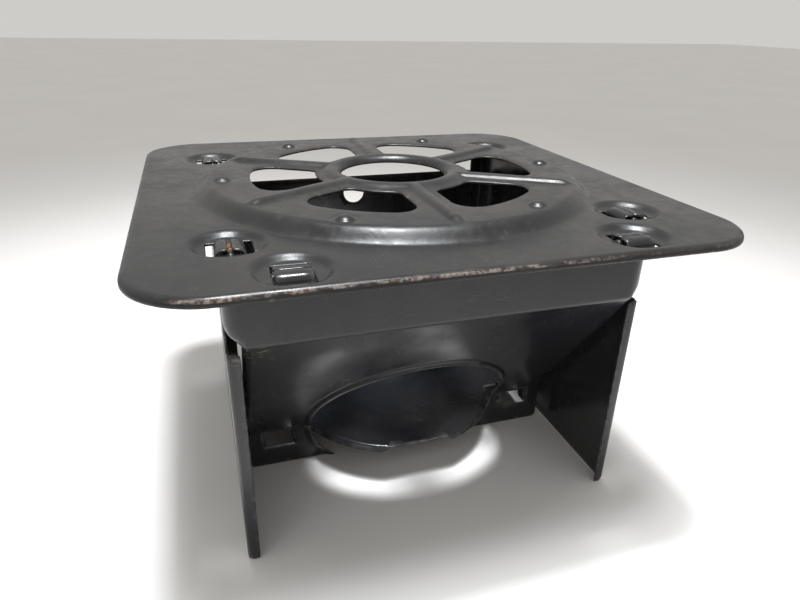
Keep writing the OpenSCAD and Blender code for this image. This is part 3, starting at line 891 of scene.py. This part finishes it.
def plate_paint():
    """Satin black paint, mottled, worn to brown and bare steel along the front rim, with specks of rust."""
    n = Nodes("plate_paint")
    grain, mottle, cloud = n.noise(1400, 2), n.noise(260, 4), n.noise(28, 3)
    base = n.mix(n.span(cloud, 0.35, 0.7), (0.014, 0.014, 0.0145, 1), (0.023, 0.0225, 0.022, 1))
    base = n.mix(n.span(mottle, 0.6, 0.78, 0, 0.5), base, (0.050, 0.047, 0.043, 1))
    rim = n.span(n.axis(2), (PLATE_TOP - 1.35) * MM, (PLATE_TOP - 0.95) * MM, 0, 1)
    rim = n.math("MULTIPLY", rim, n.span(n.axis(2), (PLATE_TOP - 0.6) * MM, (PLATE_TOP - 0.25) * MM, 1, 0))
    front = n.span(n.axis(1), -(PLATE_HALF - 1.2) * MM, -(PLATE_HALF - 3) * MM, 1, 0)
    left = n.span(n.axis(0), 0.005, 0.045, 1, 0.12)
    worn = n.math("MULTIPLY", n.math("MULTIPLY", rim, front), left)
    worn = n.math("MULTIPLY", worn, n.span(n.noise(160, 4, stretch=(1, 4, 4)), 0.36, 0.6))
    edges = n.math("MULTIPLY", n.attribute("cut_edge"), n.span(n.noise(420, 3), 0.56, 0.74, 0, 0.35))
    worn = n.math("MAXIMUM", worn, edges)
    worn_colour = n.mix(n.span(n.noise(700, 3), 0.4, 0.6), (0.12, 0.07, 0.05, 1), (0.36, 0.32, 0.29, 1))
    rust = n.math("MAXIMUM", n.near(RING_RUST, 0.002, 0.013), n.near(SEAM_RUST, 0.0014, 0.0026))
    rust = n.math("MULTIPLY", rust, n.span(n.noise(330, 5, 0.7), 0.44, 0.58))
    rusty = n.mix(n.span(n.noise(900, 3), 0.4, 0.65), (0.10, 0.032, 0.012, 1), (0.33, 0.15, 0.045, 1))
    colour = n.mix(rust, n.mix(worn, base, worn_colour), rusty)
    n.put(n.shader.inputs["Base Color"], colour)
    gloss = n.span(mottle, 0.3, 0.75, 0.28, 0.40)
    gloss = n.math("ADD", gloss, n.span(n.noise(60, 3), 0.4, 0.7, -0.04, 0.06))
    gloss = n.math("ADD", gloss, n.math("MULTIPLY", rust, 0.3), clamp=True)
    n.put(n.shader.inputs["Roughness"], gloss)
    n.put(n.shader.inputs["Metallic"], n.math("MULTIPLY", worn, 0.75))
    n.shader.inputs["Specular IOR Level"].default_value = 0.36
    fine = n.bump(grain, 0.10, 0.00012)
    n.put(n.shader.inputs["Normal"], n.bump(n.noise(420, 3), 0.16, 0.0003, fine))
    return n.material


def panel_paint():
    """Smooth glossy blue-black paint with smears and light scratches, a paler brown patch at the band's corner,
    a brown spot on the foot that is a painted reflection of the warm floor, and cut edges rubbed and painted
    light grey as a painted edge highlight.
    """
    n = Nodes("panel_paint")
    cloud, smear = n.noise(22, 3), n.noise(75, 4, stretch=(1, 1, 0.35))
    base = n.mix(n.span(cloud, 0.35, 0.7), (0.010, 0.0105, 0.013, 1), (0.017, 0.0165, 0.017, 1))
    base = n.mix(n.span(n.noise(240, 5), 0.6, 0.8, 0, 0.35), base, (0.034, 0.029, 0.023, 1))
    scratch = n.span(n.noise(900, 2, stretch=(0.12, 1, 1.4)), 0.69, 0.72, 0, 0.8)
    # Painted reflection of the warm floor on the foot and a paler patch at the band's corner, joined below with
    # the light scratches.
    pale_spot_and_floor_reflection = n.math("MAXIMUM", n.near(BAND_CORNER_PALE_SPOT, 0.002, 0.007), n.near(FOOT_FLOOR_REFLECTION, 0.001, 0.008))
    scratches_spot_and_painted_reflection = n.math("MULTIPLY", pale_spot_and_floor_reflection, n.span(n.noise(900, 3, stretch=(0.25, 1, 1)), 0.56, 0.66, 0, 0.6))
    # Cut edges: rubbed bare in part, and painted light grey as a painted highlight along the rounded sheet
    # edges.
    rubbed_edge_and_highlight = n.math("MULTIPLY", n.attribute("cut_edge"), n.span(n.noise(300, 3), 0.45, 0.7, 0.05, 0.4))
    scratches_spot_and_painted_reflection = n.math("MAXIMUM", scratches_spot_and_painted_reflection, n.math("MULTIPLY", scratch, n.span(cloud, 0.45, 0.65, 0, 0.25)))
    colour = n.mix(scratches_spot_and_painted_reflection, base, (0.20, 0.17, 0.13, 1))
    colour = n.mix(rubbed_edge_and_highlight, colour, (0.22, 0.215, 0.21, 1))
    n.put(n.shader.inputs["Base Color"], colour)
    gloss = n.math("ADD", n.span(smear, 0.3, 0.75, 0.17, 0.32), n.math("MULTIPLY", scratches_spot_and_painted_reflection, 0.3), clamp=True)
    n.put(n.shader.inputs["Roughness"], gloss)
    n.put(n.shader.inputs["Metallic"], n.math("MULTIPLY", rubbed_edge_and_highlight, 0.7))
    n.shader.inputs["Specular IOR Level"].default_value = 0.5
    waves = n.bump(n.noise(45, 2), 0.10, 0.0012)
    n.put(n.shader.inputs["Normal"], n.bump(n.noise(520, 3), 0.08, 0.0002, waves))
    return n.material


def plain(name, colour, roughness):
    """A matt surface of one colour, very slightly uneven."""
    n = Nodes(name)
    shade = n.mix(n.span(n.noise(6, 2), 0.3, 0.7), colour, tuple(c * 0.97 for c in colour[:3]) + (1,))
    n.put(n.shader.inputs["Base Color"], shade)
    n.shader.inputs["Roughness"].default_value = roughness
    return n.material


# ---------------------------------------------------------------- the studio
def floor():
    """A wide pale sheet under the stove."""
    side = 4.0
    verts = [(x, y, -0.0002) for x, y in ((-side, -side), (side, -side), (side, side), (-side, side))]
    mesh = bpy.data.meshes.new("floor")
    mesh.from_pydata(verts, [], [(0, 1, 2, 3)])
    mesh.materials.append(plain("pale_card", (0.80, 0.79, 0.775, 1), 0.6))
    obj = bpy.data.objects.new("floor", mesh)
    bpy.context.scene.collection.objects.link(obj)


def area_light(name, place, target, size, power, colour, spread):
    """A rectangular light at place, in metres, aimed at target. Its beam is spread degrees wide."""
    data = bpy.data.lights.new(name, "AREA")
    data.shape = "RECTANGLE"
    data.size, data.size_y = size
    data.energy = power
    data.color = colour
    data.spread = math.radians(spread)
    obj = bpy.data.objects.new(name, data)
    obj.location = place
    obj.rotation_euler = (Vector(target) - Vector(place)).to_track_quat("-Z", "Y").to_euler()
    bpy.context.scene.collection.objects.link(obj)


def lights():
    """Two soft lights above the stove, a weak one from the front left, and an even surround."""
    area_light("overhead", (0.04, -0.10, 1.40), (0, -0.01, 0.05), (0.45, 0.35), 1.1, (0.94, 0.965, 1.0), 45)
    area_light("burner", (0.0, 0.05, 1.30), (0, -0.01, 0.05), (0.2, 0.16), 0.8, (0.95, 0.97, 1.0), 40)
    area_light("window", (-0.9, -0.75, 0.75), (0, 0, 0.05), (0.5, 0.5), 0.3, (0.92, 0.96, 1.0), 100)
    world = bpy.data.worlds.new("studio")
    world.use_nodes = True
    world.node_tree.nodes["Background"].inputs["Color"].default_value = (1.0, 0.975, 0.94, 1)
    world.node_tree.nodes["Background"].inputs["Strength"].default_value = 0.62
    bpy.context.scene.world = world


def camera():
    """Looks down at the front from the left, close to the stove, as in a hand-held picture."""
    data = bpy.data.cameras.new("camera")
    data.lens = 27.55
    data.sensor_width = 36
    obj = bpy.data.objects.new("camera", data)
    turn = (Matrix.Rotation(math.radians(-18.4), 4, "Z") @ Matrix.Rotation(math.radians(90 - 25.0), 4, "X")
            @ Matrix.Rotation(math.radians(1.28), 4, "Z"))
    obj.matrix_world = Matrix.Translation(Vector((-67.5, -214.5, 161.3)) * MM) @ turn
    bpy.context.scene.collection.objects.link(obj)
    bpy.context.scene.camera = obj


camera()
floor()
lights()
plate_black = plate_paint()
panel_black = panel_paint()
top_plate(plate_black)
leg(-1, "left_leg_sheet", "left_leg", "left_leg", panel_black)
leg(1, "right_leg_sheet", "right_leg", "right_leg", panel_black)
front_panel(panel_black)
can_shelf(panel_black)
rear_panel(panel_black)
bpy.context.scene.view_settings.view_transform = "Standard"
